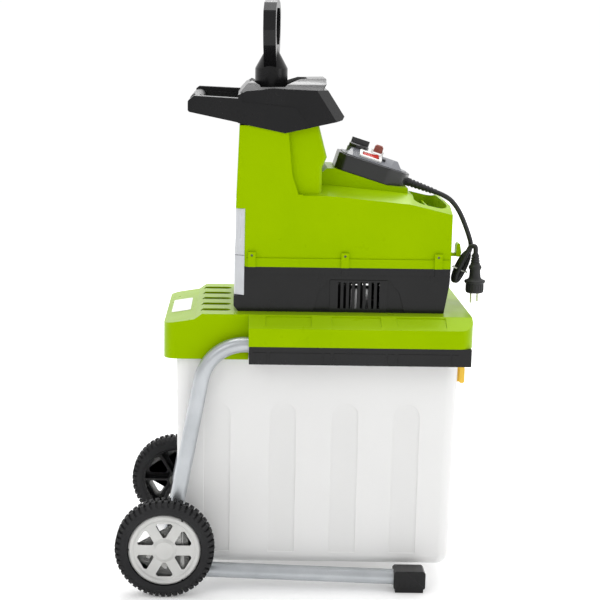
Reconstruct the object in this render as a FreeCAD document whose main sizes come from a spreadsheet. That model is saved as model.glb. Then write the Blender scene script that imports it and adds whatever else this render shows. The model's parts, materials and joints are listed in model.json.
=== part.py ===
"""Electric garden shredder on a wheeled tube frame, with a pull-out collection box.

Millimetres. +Z is up, +X is the front (the box pulls out that way, the carry grip and the
wheels are at -X), -Y is the side with the latch. The origin is on the floor under the middle.
Each sub-part is one object of the document, and its Label names its STEP file.
"""
import FreeCAD, Part
import math
import os

import Sketcher
from FreeCAD import Placement, Rotation, Vector

doc = FreeCAD.newDocument("GardenShredder")

# --------------------------------------------------------------------------- driving sizes
SIZES = {
    # wheels and axle
    "wheel_radius": 90.0, "wheel_inner": 188.0, "wheel_outer": 228.0,
    "hub_place": -228.6, "rim_radius": 67.0, "axle_radius": 6.0, "run_gap": 0.05,
    # bent tube frame
    "tube_radius": 14.0, "tube_wall": 1.5, "tube_side": 171.0, "tube_top": 459.0,
    "tube_end": 60.0, "foot_front": 248.0, "foot_back": 190.0,
    # deck
    "deck_back": -235.0, "deck_step": -82.0, "deck_front": 318.6, "deck_half": 190.0,
    "deck_narrow": 156.0, "deck_low": 459.0, "deck_skirt": 428.0, "deck_top": 511.0,
    "wall": 3.0,
    # collection box
    "box_back": -213.0, "box_front": 301.0, "box_half": 147.0, "box_floor": 36.0,
    "box_top": 437.0, "box_draft": 5.0,
    # housings
    "house_half": 125.0, "house_back": -91.0, "house_front": 281.0, "house_low": 511.0,
    "seam": 593.0, "panel_back": -108.0, "panel_low": 540.0, "panel_high": 698.0,
    "panel_split": 613.0, "tower_top": 846.0,
    # hood and plunger
    "hood_half": 128.0, "plunger_place": -46.0, "plunger_radius": 30.0, "throat_half_x": 38.0,
    "throat_half_y": 55.0, "grip_radius": 13.0,
    # control console, in its own tilted frame
    "console_x": 72.0, "console_z": 766.0, "console_tilt": 17.5, "console_length": 139.0,
    "console_half": 55.0, "console_height": 30.0, "plate_thick": 3.0,
    # drive line
    "drive_height": 602.0, "shaft_gap": 54.0, "drum_radius": 42.0,
    # lead
    "cord_radius": 4.5,
}

sheet = doc.addObject("Spreadsheet::Sheet", "Dims")
for row, (alias, value) in enumerate(SIZES.items(), start=1):
    sheet.set("A%d" % row, alias)
    sheet.set("B%d" % row, str(value))
    sheet.setAlias("B%d" % row, alias)
doc.recompute()


class Size:
    """A length with its value and the sheet expression that gives it."""

    def __init__(self, value, text):
        self.value = value
        self.text = text

    @staticmethod
    def of(thing):
        return thing if isinstance(thing, Size) else Size(float(thing), repr(float(thing)))

    def __add__(self, other):
        other = Size.of(other)
        return Size(self.value + other.value, "(%s + %s)" % (self.text, other.text))

    def __sub__(self, other):
        other = Size.of(other)
        return Size(self.value - other.value, "(%s - %s)" % (self.text, other.text))

    def __mul__(self, factor):
        return Size(self.value * factor, "(%s * %r)" % (self.text, float(factor)))

    def __neg__(self):
        return self * -1

    def __radd__(self, other):
        return self + other

    def __rsub__(self, other):
        return Size.of(other) - self

    __rmul__ = __mul__


class Sheet:
    """The driving sizes by name, each as a Size."""


D = Sheet()
for alias in SIZES:
    setattr(D, alias, Size(float(sheet.get(alias)), "Dims." + alias))

nodes = []
TURN = {"X": Rotation(Vector(0, 1, 0), 90), "Y": Rotation(Vector(1, 0, 0), -90), "Z": Rotation()}
UNIT = {"X": Vector(1, 0, 0), "Y": Vector(0, 1, 0), "Z": Vector(0, 0, 1)}


# --------------------------------------------------------------------------- building helpers
def num(size):
    return Size.of(size).value


def bind(obj, prop, size):
    """Give a length property a number, or the sheet expression of a Size."""
    setattr(obj, prop, num(size))
    if isinstance(size, Size):
        obj.setExpression(prop, size.text)


def place(obj, base, rotation=None):
    obj.Placement = Placement(Vector(*[num(b) for b in base]), rotation or Rotation())
    for letter, size in zip("xyz", base):
        if isinstance(size, Size):
            obj.setExpression("Placement.Base." + letter, size.text)
    return obj


def node(obj, name):
    """Name an object as a finished sub-part."""
    obj.Label = name
    nodes.append(obj)
    return obj


def block(x0, x1, y0, y1, z0, z1):
    obj = doc.addObject("Part::Box", "Block")
    bind(obj, "Length", Size.of(x1) - x0)
    bind(obj, "Width", Size.of(y1) - y0)
    bind(obj, "Height", Size.of(z1) - z0)
    return place(obj, (x0, y0, z0))


def rod(axis, radius, start, end, centre):
    """A cylinder along a row axis; centre holds the two other coordinates in XYZ order."""
    obj = doc.addObject("Part::Cylinder", "Rod")
    bind(obj, "Radius", radius)
    bind(obj, "Height", Size.of(end) - start)
    base = list(centre)
    base.insert("XYZ".index(axis), start)
    return place(obj, base, TURN[axis])


def fuse(*parts):
    if len(parts) == 1:
        return parts[0]
    obj = doc.addObject("Part::MultiFuse", "Join")
    obj.Shapes = list(parts)
    return obj


def cut(base, *tools):
    obj = doc.addObject("Part::Cut", "Cut")
    obj.Base = base
    obj.Tool = fuse(*tools)
    return obj


def common(*parts):
    obj = doc.addObject("Part::MultiCommon", "Common")
    obj.Shapes = list(parts)
    return obj


def group(*parts):
    """Separate solids kept together in one node."""
    obj = doc.addObject("Part::Compound", "Set")
    obj.Links = list(parts)
    return obj


def sketch_on(body, plane, points):
    """A closed outline of straight lines, every corner bound to its two sizes."""
    sketch = body.newObject("Sketcher::SketchObject", "Outline")
    role = plane + "_Plane"
    origin_plane = [f for f in body.Origin.OriginFeatures if f.Role == role][0]
    sketch.AttachmentSupport = [(origin_plane, "")]
    sketch.MapMode = "FlatFace"
    count = len(points)
    corners = [Vector(num(a), num(b), 0) for a, b in points]
    for i in range(count):
        sketch.addGeometry(Part.LineSegment(corners[i], corners[(i + 1) % count]), False)
    for i in range(count):
        sketch.addConstraint(Sketcher.Constraint("Coincident", i, 2, (i + 1) % count, 1))
    for i, point in enumerate(points):
        for kind, size in zip(("DistanceX", "DistanceY"), point):
            index = sketch.addConstraint(Sketcher.Constraint(kind, -1, 1, i, 1, num(size)))
            if isinstance(size, Size):
                sketch.setExpression("Constraints[%d]" % index, size.text)
    return sketch


def round_edges(body, feature, rounds):
    """Fillet the edges that each test picks, one fillet feature per radius."""
    for radius, test in rounds:
        doc.recompute()
        names = ["Edge%d" % (i + 1) for i, e in enumerate(feature.Shape.Edges) if test(e)]
        fillet = body.newObject("PartDesign::Fillet", "Rounds")
        fillet.Base = (feature, names)
        bind(fillet, "Radius", radius)
        feature = fillet
    return feature


def pad(plane, points, low, high, rounds=(), taper=0.0):
    """A body: an outline on an origin plane, padded between two places on the plane's normal."""
    body = doc.addObject("PartDesign::Body", "Piece")
    sketch = sketch_on(body, plane, points)
    feature = body.newObject("PartDesign::Pad", "Pad")
    feature.Profile = sketch
    normal = "XYZ".index({"XY": "Z", "XZ": "Y", "YZ": "X"}[plane])
    base = [0.0, 0.0, 0.0]
    if taper:
        feature.TaperAngle = taper
        base[normal] = low
    else:
        feature.SideType = "Symmetric"
        base[normal] = (Size.of(low) + high) * 0.5
    bind(feature, "Length", Size.of(high) - low)
    round_edges(body, feature, rounds)
    return place(body, base)


def turned(axis, profile, centre=(0.0, 0.0)):
    """A revolved body; the profile holds (place along the axis, radius) corners."""
    body = doc.addObject("PartDesign::Body", "Turned")
    if axis == "Z":
        sketch = sketch_on(body, "XZ", [(r, a) for a, r in profile])
    else:
        sketch = sketch_on(body, "XZ" if axis == "X" else "YZ", profile)
    feature = body.newObject("PartDesign::Revolution", "Revolution")
    feature.Profile = sketch
    feature.ReferenceAxis = (sketch, ["V_Axis" if axis == "Z" else "H_Axis"])
    feature.Angle = 360.0
    base = list(centre)
    base.insert("XYZ".index(axis), 0.0)
    return place(body, base)


def moved(obj, offset, axis="Z", angle=0.0):
    """Shift and turn an object as a whole, through a one-item compound."""
    holder = doc.addObject("Part::Compound", "Placed")
    holder.Links = [obj]
    return place(holder, offset, Rotation(UNIT[axis], angle))


def solid_node(shape, name):
    """A sub-part whose shape comes straight from Part's own functions."""
    obj = doc.addObject("Part::Feature", "Shape")
    obj.Shape = shape
    return node(obj, name) if name else obj


def runs_along(letter):
    """Test for straight edges parallel to a row axis."""
    def test(edge):
        if not isinstance(edge.Curve, Part.Line):
            return False
        return abs(abs(edge.Curve.Direction.dot(UNIT[letter])) - 1.0) < 1e-6
    return test


def edge_near(letter, value, reach=0.5, also=None):
    """Test for edges whose middle is at a place on an axis."""
    def test(edge):
        middle = edge.CenterOfMass.dot(UNIT[letter])
        return abs(middle - num(value)) < reach and (also is None or also(edge))
    return test


def bent_path(points, radii):
    """Straight runs joined by tangent arcs, as one wire."""
    edges = []
    start = points[0]
    for i in range(1, len(points) - 1):
        corner = points[i]
        back = (points[i - 1] - corner).normalize()
        ahead = (points[i + 1] - corner).normalize()
        half_turn = (math.pi - back.getAngle(ahead)) / 2.0
        reach = radii[i - 1] * math.tan(half_turn)
        enter = corner + back * reach
        leave = corner + ahead * reach
        to_middle = (back + ahead).normalize()
        depth = radii[i - 1] / math.cos(half_turn) - radii[i - 1]
        edges.append(Part.LineSegment(start, enter).toShape())
        edges.append(Part.Arc(enter, corner + to_middle * depth, leave).toShape())
        start = leave
    edges.append(Part.LineSegment(start, points[-1]).toShape())
    return Part.Wire(edges)


def sweep_round(path, radius):
    first = path.Edges[0]
    at = first.valueAt(first.FirstParameter)
    along = first.tangentAt(first.FirstParameter)
    ring = Part.Wire(Part.makeCircle(radius, at, along))
    return path.makePipeShell([ring], True, False)


def ruled(sections):
    """A straight-sided loft through closed polygons of equal corner count."""
    wires = [Part.makePolygon([Vector(*p) for p in s] + [Vector(*s[0])]) for s in sections]
    return Part.makeLoft(wires, True, True)


# --------------------------------------------------------------------------- frame and wheels
SKID_BACK = Vector(-232.0, 0, 37.0)
SKID_FRONT = Vector(240.0, 0, 23.5)


def frame_tube(side):
    """One bent steel tube: from under the deck, down behind the wheel, along the floor."""
    y = side * num(D.tube_side)
    top = num(D.tube_top)
    points = [Vector(num(D.tube_end), y, top), Vector(-153.7, y, top),
              SKID_BACK + Vector(0, y, 0), SKID_FRONT + Vector(0, y, 0)]
    path = bent_path(points, [80.0, 60.0])
    outer = sweep_round(path, num(D.tube_radius))
    inner = sweep_round(path, num(D.tube_radius) - num(D.tube_wall))
    axle_hole = Part.makeCylinder(num(D.axle_radius), 40.0, Vector(num(D.hub_place), y - 20.0,
                                  num(D.wheel_radius)), Vector(0, 1, 0))
    name = "frame_tube_near" if side < 0 else "frame_tube_far"
    return solid_node(outer.cut(inner).cut(axle_hole), name)


def foot(side):
    """Plastic foot block clamped round the end of the frame tube."""
    y0, y1 = sorted((side * 153.0, side * 190.0))
    upper = pad("XZ", [(D.foot_back, 8), (D.foot_front, 8), (D.foot_front, 38), (D.foot_front - 4, 42),
                       (D.foot_back + 4, 42), (D.foot_back, 38)], y0, y1,
                [(3, runs_along("Y"))])
    pad_low = block(D.foot_back + 3, D.foot_front - 3, y0 + 3, y1 - 3, 0, 9)
    fall = (SKID_BACK.z - SKID_FRONT.z) / (SKID_FRONT.x - SKID_BACK.x)
    start = (170.0, side * D.tube_side, SKID_BACK.z - (170.0 - SKID_BACK.x) * fall)
    tube_room = moved(rod("X", D.tube_radius, 0, 70, (0, 0)), start, "Y", math.degrees(math.atan(fall)))
    rib = [block(D.foot_back + 8 + 11 * i, D.foot_back + 11 + 11 * i, y0 - 1, y0 + 0.8, 14, 36)
           for i in range(4)]
    return node(cut(fuse(upper, pad_low), tube_room, *rib), "foot_near" if side < 0 else "foot_far")


def ring(side, r_in, r_out, a, b):
    """Square-section ring profile about the Y axis, mirrored for the far side."""
    a, b = (a, b) if side > 0 else (-b, -a)
    return turned("Y", [(a, r_in), (b, r_in), (b, r_out), (a, r_out)], (D.hub_place, D.wheel_radius))


def tyre(side, name):
    """Hard rubber tyre with chamfered shoulders."""
    inner, outer = D.wheel_inner, D.wheel_outer
    rows = [(inner, D.rim_radius), (outer, D.rim_radius), (outer, D.wheel_radius - 6),
            (outer - 4, D.wheel_radius), (inner + 4, D.wheel_radius), (inner, D.wheel_radius - 6)]
    if side < 0:
        rows = [(-a, r) for a, r in rows]
    body = turned("Y", rows, (D.hub_place, D.wheel_radius))
    return node(body, name)


def wheel(side, name):
    """Moulded wheel: deep rim, web with six windows and a hub column on the axle."""
    rim = ring(side, D.rim_radius - 4, D.rim_radius, D.wheel_inner + 1, 215.8)
    web = ring(side, D.axle_radius + D.run_gap, D.rim_radius - 2, 212, 216)
    hub = ring(side, D.axle_radius + D.run_gap, 15, D.wheel_inner, 216)
    ribs = []
    for i in range(6):
        rib = block(14, 64, side * 201 - 11, side * 201 + 11, -2, 2)
        ribs.append(moved(rib, (D.hub_place, 0, D.wheel_radius), "Y", 60 * i))
    windows = []
    for i in range(6):
        low, high = sorted((side * 210.0, side * 218.0))
        window = pad("XZ", [(-3.5, 22), (3.5, 22), (19, 50), (14, 57), (-14, 57), (-19, 50)],
                     low, high, [(4.0, runs_along("Y"))])
        windows.append(moved(window, (D.hub_place, 0, D.wheel_radius), "Y", 60 * i))
    return node(cut(fuse(rim, web, hub, *ribs), *windows), name)


def hubcap(side, name):
    """Silver cover with six rounded triangular windows between its spokes."""
    a, b = (216.0, 228.0)
    rows = [(a, 0.0), (a, 65.5), (b - 4, 65.5), (b - 1.2, 62), (b - 1.2, 57), (b - 3, 54), (b - 3, 22),
            (b, 16), (b, 0.0)]
    inside = [(a - 1, 0.0), (a - 1, 63), (b - 5.5, 61), (b - 5.5, 18), (b - 3, 12), (b - 3, 0.0)]
    if side < 0:
        rows = [(-p, r) for p, r in rows]
        inside = [(-p, r) for p, r in inside]
    centre = (D.hub_place, D.wheel_radius)
    shell = cut(turned("Y", rows, centre), turned("Y", inside, centre))
    windows = []
    for i in range(6):
        low, high = sorted((side * 210.0, side * 230.0))
        window = pad("XZ", [(-2.5, 23), (2.5, 23), (15.5, 45.5), (12, 49.5), (-12, 49.5), (-15.5, 45.5)],
                     low, high, [(3.0, runs_along("Y"))])
        windows.append(moved(window, (D.hub_place, 0, D.wheel_radius), "Y", 60 * i))
    for angle in (-90, 30, 150):
        notch = block(-1.8, 1.8, low, high, 63, 67)
        windows.append(moved(notch, (D.hub_place, 0, D.wheel_radius), "Y", angle))
    return node(cut(shell, *windows), name)


def make_wheels():
    for side, word in ((-1, "near"), (1, "far")):
        frame_tube(side)
        foot(side)
        tyre(side, "tyre_" + word)
        wheel(side, "wheel_" + word)
        hubcap(side, "hubcap_" + word)
    axle = rod("Y", D.axle_radius, -214, 214, (D.hub_place, D.wheel_radius))
    node(axle, "axle")
    rings, nuts = [], []
    for side in (-1, 1):
        rings.append(ring(side, D.axle_radius, 12, 185.2, 187.6))
        low, high = sorted((side * 216.3, side * 220.5))
        cap = rod("Y", 9, low, high, (D.hub_place, D.wheel_radius))
        stub_low, stub_high = sorted((side * 214.02, side * 216.4))
        neck = rod("Y", D.axle_radius - 0.5, stub_low, stub_high, (D.hub_place, D.wheel_radius))
        nuts.append(fuse(cap, neck))
    node(group(*rings), "axle_washers")
    node(group(*nuts), "axle_end_caps")


# --------------------------------------------------------------------------- deck and rails
def deck_solid(inset):
    """Outer form of the deck; an inset above zero gives the hollow under it."""
    half = D.deck_half - inset
    drop = 30.0 if inset else 0.0
    top = D.deck_top - inset
    low = D.deck_low - drop
    wide = pad("YZ", [(-half, low), (half, low), (half, 492 - inset), (half - 34, top),
                      (-half + 34, top), (-half, 492 - inset)],
               D.deck_step + inset, D.deck_front - inset,
               [(24, lambda e: runs_along("Z")(e) and e.CenterOfMass.x > 0)])
    low_left = D.deck_skirt - drop
    narrow_half = D.deck_narrow - inset
    narrow = pad("XZ", [(D.deck_back + inset, low_left), (D.deck_step + inset, low_left),
                        (D.deck_step + inset, low), (D.deck_step + 20, low), (D.deck_step + 20, top),
                        (-166, top), (-180, 501 - inset), (D.deck_back + inset, 492 - inset)],
                 -narrow_half, narrow_half,
                 [(22, lambda e: runs_along("Z")(e) and e.CenterOfMass.x < -200)])
    return wide, narrow


def make_deck():
    wide, narrow = deck_solid(0.0)
    wide_in, narrow_in = deck_solid(3.0)
    tools = [wide_in, narrow_in]
    for side in (-1, 1):
        tools.append(rod("X", D.tube_radius + 0.3, D.deck_step - 6, D.deck_step + 6,
                         (side * D.tube_side, D.tube_top)))
    tools.append(block(-84, 22, -56, 56, D.deck_top - 8, D.deck_top + 2))
    for i in range(5):
        y = -112.0 + 56.0 * i
        tools.append(block(-160, -125, y - 10, y + 10, 496, 520))
        for x in (-160, -125):
            tools.append(rod("Z", 10, 496, 520, (x, y)))
    shoulder = math.degrees(math.atan2(19.0, 34.0))
    for start, length in ((-52.0, 82.0), (66.0, 88.0), (182.0, 88.0)):
        for side in (-1, 1):
            bed = block(0, length, -13, 13, -1.9, 6)
            tools.append(moved(bed, (start, side * 171.0, 502.8), "X", -side * shoulder))
    node(cut(fuse(wide, narrow), *tools), "deck_cover")
    plate = pad("XY", [(10, -60), (46, -60), (46, 60), (10, 60)], 0.05, 0.85, [(5, runs_along("Z"))])
    slope = math.degrees(math.atan2(9.0, 55.0))
    node(moved(plate, (D.deck_back, 0, 492), "Y", -slope), "deck_label")


def make_rails():
    """Black side rails under the deck, with an inner ledge that carries the box rim."""
    for side, name in ((-1, "rail_near"), (1, "rail_far")):
        def span(a, b, x0, x1, z0, z1, s=side):
            y0, y1 = (a, b) if s > 0 else (-b, -a)
            return block(x0, x1, y0, y1, z0, z1)
        x0, x1 = D.deck_step + 1, 315
        bar = span(160, 190, x0, x1, D.deck_skirt - 1, D.deck_low)
        ledge = span(148.5, 160.5, x0, x1, D.deck_skirt - 1, D.box_top - 4.3)
        hollow = span(163.5, 186.5, x0 + 4, x1 - 4, 431, D.deck_low + 1)
        tube_room = rod("X", D.tube_radius + 0.3, D.deck_step - 2, D.tube_end + 3,
                        (side * D.tube_side, D.tube_top))
        panels = [span(189.5, 191.2, -74, -50, 431, 449)]
        for i in range(3):
            left = -44.0 + 114.0 * i
            panels.append(span(189.5, 191.2, left, left + 92, 431, 449))
            panels.append(span(189.5, 191.2, left + 96, left + 108, 431, 449))
        node(cut(fuse(bar, ledge, *panels), hollow, tube_room), name)
    bolts = []
    for side in (-1, 1):
        for x in (-40.0, 30.0):
            bolts.append(rod("Z", 3, 441, 478, (x, side * D.tube_side)))
    node(group(*bolts), "frame_bolts")


# --------------------------------------------------------------------------- collection box
def bin_form(inset, floor, top):
    """Tapered tub with rounded corners, smaller by an inset."""
    height = num(top) - num(floor)
    taper = math.degrees(math.atan2(num(D.box_draft), num(D.box_top) - num(D.box_floor)))
    shrink = D.box_draft + inset
    x0, x1 = D.box_back + shrink, D.box_front - shrink
    y1 = D.box_half - shrink
    corner = 24.0 - inset
    return pad("XY", [(x0, -y1), (x1, -y1), (x1, y1), (x0, y1)], floor, floor + height,
               [(corner, lambda e: abs(e.CenterOfMass.z - height / 2.0) < 2.0),
                (corner * 0.8, edge_near("Z", 0.0))], taper)


def make_box():
    outer = bin_form(0.0, D.box_floor, D.box_top)
    inner = bin_form(3.0, D.box_floor + 3, D.box_top + 3)
    rim = pad("XY", [(D.box_back - 4, -151), (D.box_front + 4, -151), (D.box_front + 4, 151),
                     (D.box_back - 4, 151)], D.box_top - 4, D.box_top, [(26, runs_along("Z"))])
    tools = [inner, block(D.box_front + 0.6, D.box_front + 6, -122, -98, D.box_top - 6, D.box_top + 1)]
    for side in (-1, 1):
        lean = -side * math.degrees(math.atan2(num(D.box_draft), num(D.box_top) - num(D.box_floor)))
        for centre in (-137.0, -17.0, 96.0, 208.0):
            y0, y1 = sorted((side * -1.6, side * 6.0))
            flute = fuse(block(centre - 24, centre + 24, y0, y1, 24, 286),
                         rod("Y", 24, y0, y1, (centre, 286)))
            tools.append(moved(flute, (0, side * (D.box_half - D.box_draft), D.box_floor), "X", lean))
    node(cut(fuse(outer, rim), *tools), "collection_box")

    slide = block(301.8, 305.4, -118, -102, 383, 436)
    tongue = block(301.8, 305.4, -115, -105, 436, 441)
    tab = pad("XZ", [(305, 381), (312.5, 381), (314.5, 384), (314.5, 409), (312.5, 412), (305, 412)],
              -121, -99, [(3, runs_along("Y"))])
    node(fuse(slide, tongue, tab), "box_latch")
    housing = block(297, 314, -123, -97, 462, D.deck_top - 3)
    slot = block(301, 306.2, -116, -104, 461, 474)
    node(cut(housing, slot), "latch_switch")


# --------------------------------------------------------------------------- main housings
def make_lower_housing():
    """Black base: walls round the drive, louvres beside the motor, open over the chip hole."""
    half = D.house_half
    outline = [(-102, D.house_low), (271, D.house_low), (D.house_front - 1, 565),
               (D.house_front, D.seam), (D.house_back, D.seam), (D.house_back, D.panel_low),
               (-110, D.panel_low), (-110, 521)]
    hollow = [(-88, D.house_low + 3), (267, D.house_low + 3), (D.house_front - 4.5, 565),
              (D.house_front - 3, D.seam + 2), (-88, D.seam + 2)]
    outer = pad("XZ", outline, -half, half)
    inner = pad("XZ", hollow, -half + 3, half - 3)
    shell = cut(outer, inner, block(-80, 18, -52, 52, D.house_low - 2, D.house_low + 6))
    adds, tools = [], []
    for side in (-1, 1):
        y0, y1 = sorted((side * 116.5, side * 123.0))
        adds.append(block(28, 206, y0, y1, D.house_low + 1, 580))
        y0, y1 = sorted((side * 120.0, side * 126.0))
        arch = [(34, D.house_low + 3), (199, D.house_low + 3), (190, 548), (172, 571), (62, 571),
                (43, 548)]
        tools.append(pad("XZ", arch, y0, y1, [(9, lambda e: runs_along("Y")(e)
                                                and e.CenterOfMass.z > 540)]))
        y0, y1 = sorted((side * 124.0, side * 127.0))
        adds.append(block(D.house_back + 2, D.house_front - 1, y0, y1, 580, D.seam))
        for x in (-78.0, 90.0, 258.0):
            y0, y1 = sorted((side * 124.0, side * 129.0))
            adds.append(block(x - 6, x + 6, y0, y1, 578, D.seam))
    body = cut(fuse(shell, *adds), *tools)
    grilles, slots = [], []
    for side in (-1, 1):
        y0, y1 = sorted((side * 118.0, side * 123.5))
        grilles.append(block(64, 168, y0, y1, D.house_low + 3, 570))
        for i in range(8):
            x = 81.0 + 10.1 * i
            y0, y1 = sorted((side * 112.0, side * 128.0))
            slots.append(block(x - 2.4, x + 2.4, y0, y1, D.house_low + 7, 566))
    floor = D.house_low + 2
    cradles = [block(125, 132, -25, 25, floor, D.drive_height - 59),
               block(248, 253, -25, 25, floor, D.drive_height - 59),
               block(58, 112, 0, 40, floor, D.drive_height - 52)]
    spout = cut(block(-83.5, 21.5, -55.5, 55.5, floor - 1, D.drive_height - 54),
                block(-80, 18, -52, 52, floor - 4, D.drive_height))
    node(cut(fuse(body, spout, *grilles, *cradles), *slots), "lower_housing")


def housing_form(inset):
    """Outer form of the green housing: side walls, tower, riser under the console."""
    half = num(D.house_half) - inset
    seam = num(D.seam) - (3.0 if inset else 0.0)
    back = num(D.house_back) + inset
    front = num(D.house_front) - inset
    rear = num(D.panel_back) + inset
    high = num(D.panel_high) + inset
    top = num(D.tower_top) + (3.0 if inset else 0.0)
    wall = pad("XZ", [(back, seam), (12, seam), (12, 724 - inset), (4, 724 - inset),
                      (-8 - inset, 759), (-17 - inset, top), (rear + 5, top), (rear, high), (back, high)],
               -half, half)

    def station(x, low, shoulder, crown, ridge):
        return [(x, -half, low), (x, half, low), (x, half, shoulder - inset),
                (x, ridge, crown - inset), (x, -ridge, crown - inset), (x, -half, shoulder - inset)]

    main = solid_node(ruled([station(-5.0, seam, 722, 736, 66.0 - inset),
                             station(60.0, seam, 722, 736, 66.0 - inset),
                             station(205.0, seam, 709, 722, 66.0 - inset),
                             station(front, seam, 691, 703, 84.0 - inset)]), None)
    tower = pad("XZ", [(-60, 700), (46 - inset, 700), (46 - inset, 772), (54 - inset, 790),
                       (39 - inset, top), (-60, top)], -half + 11, half - 11,
                [(9, lambda e: e.CenterOfMass.x > 20 and abs(abs(e.CenterOfMass.y) - half + 11) < 1
                  and e.CenterOfMass.z > 730 and abs(e.CenterOfMass.z - top) > 1)])
    riser = pad("XZ", [(40, 700), (206 - inset, 700), (206 - inset, 731.1 - inset),
                       (168, 735.6 - inset), (71, 766 - inset), (58 + inset, 766 - inset), (40, 752)],
                -62 + inset, 62 - inset)
    return wall, main, tower, riser


def make_upper_housing():
    outer = fuse(*housing_form(0.0))
    shell = cut(outer, *housing_form(3.0))
    adds, tools = [], []
    for side in (-1, 1):
        y0, y1 = sorted((side * 124.5, side * 127.2))
        adds.append(block(D.house_back + 3, D.house_front - 2, y0, y1, D.seam, 609))
        for x in (-78.0, 90.0, 258.0):
            y0, y1 = sorted((side * 124.0, side * 130.0))
            adds.append(block(x - 7, x + 7, y0, y1, D.seam, 620))
            tools.append(rod("Y", 2.2, *sorted((side * 126.0, side * 132.0)), (x, 614)))
    pocket = pad("XY", [(211, -111), (277, -111), (277, 111), (211, 111)], 664, 735,
                 [(22, runs_along("Z"))])
    pocket = common(pocket, housing_form(0.0)[1])
    pocket_room = pad("XY", [(214, -108), (274, -108), (274, 108), (214, 108)], 667, 740,
                      [(20, runs_along("Z"))])
    divider = block(250.5, 253.5, -109, 109, 665, 690)
    adds += [pocket]
    tools += [pocket_room]
    arm = block(D.house_front - 2, 314, -5, 5, 598, 604)
    lip = pad("XZ", [(306, 598), (314, 598), (316, 606), (313, 623), (308, 623), (306, 616)], -11, 11,
              [(2, runs_along("Y"))])
    tools.append(rod("Y", 8, 118, 132, (-31, D.drive_height)))
    node(fuse(cut(fuse(shell, *adds), *tools), divider, arm, lip), "upper_housing")


def make_rear_panels():
    """Grey cover plates wrapped round the rear corner of the housings."""
    for name, low, high, thick in (("rear_panel_upper", D.panel_split, D.panel_high, 0.0),
                                   ("rear_panel_lower", D.panel_low, D.panel_split, 1.5)):
        outer = pad("XY", [(-108 - thick, -118), (-91.2, -125), (-91.2, 125), (-108 - thick, 118)],
                    low + 0.2, high - 0.2, [(9, lambda e: runs_along("Z")(e)
                                              and e.CenterOfMass.x < -100)])
        inner = block(-104 - thick, -90, -110, 110, low + 3, high - 3)
        node(cut(outer, inner), name)


def make_housing_screws():
    screws = []
    for side in (-1, 1):
        for x in (-78.0, 90.0, 258.0):
            head = rod("Y", 2.1, *sorted((side * 126.2, side * 128.6)), (x, 614))
            screws.append(head)
    node(group(*screws), "housing_screws")


# --------------------------------------------------------------------------- hopper and plunger
def throat(half_x, half_y, low, high, corner=14.0):
    cx = D.plunger_place
    return pad("XY", [(cx - half_x, -Size.of(half_y)), (cx + half_x, -Size.of(half_y)),
                      (cx + half_x, Size.of(half_y)), (cx - half_x, Size.of(half_y))], low, high,
               [(corner, runs_along("Z"))])


def basin_outline(grow):
    """Eight-sided bowl round the throat, drawn out towards the front."""
    side = 104.0 + grow
    near = [(-86.0 - grow, -57), (-66 - grow / 2, -side), (-23 + grow / 2, -side), (19.0 + grow, -40)]
    return near + [(x, -y) for x, y in reversed(near)]


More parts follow.
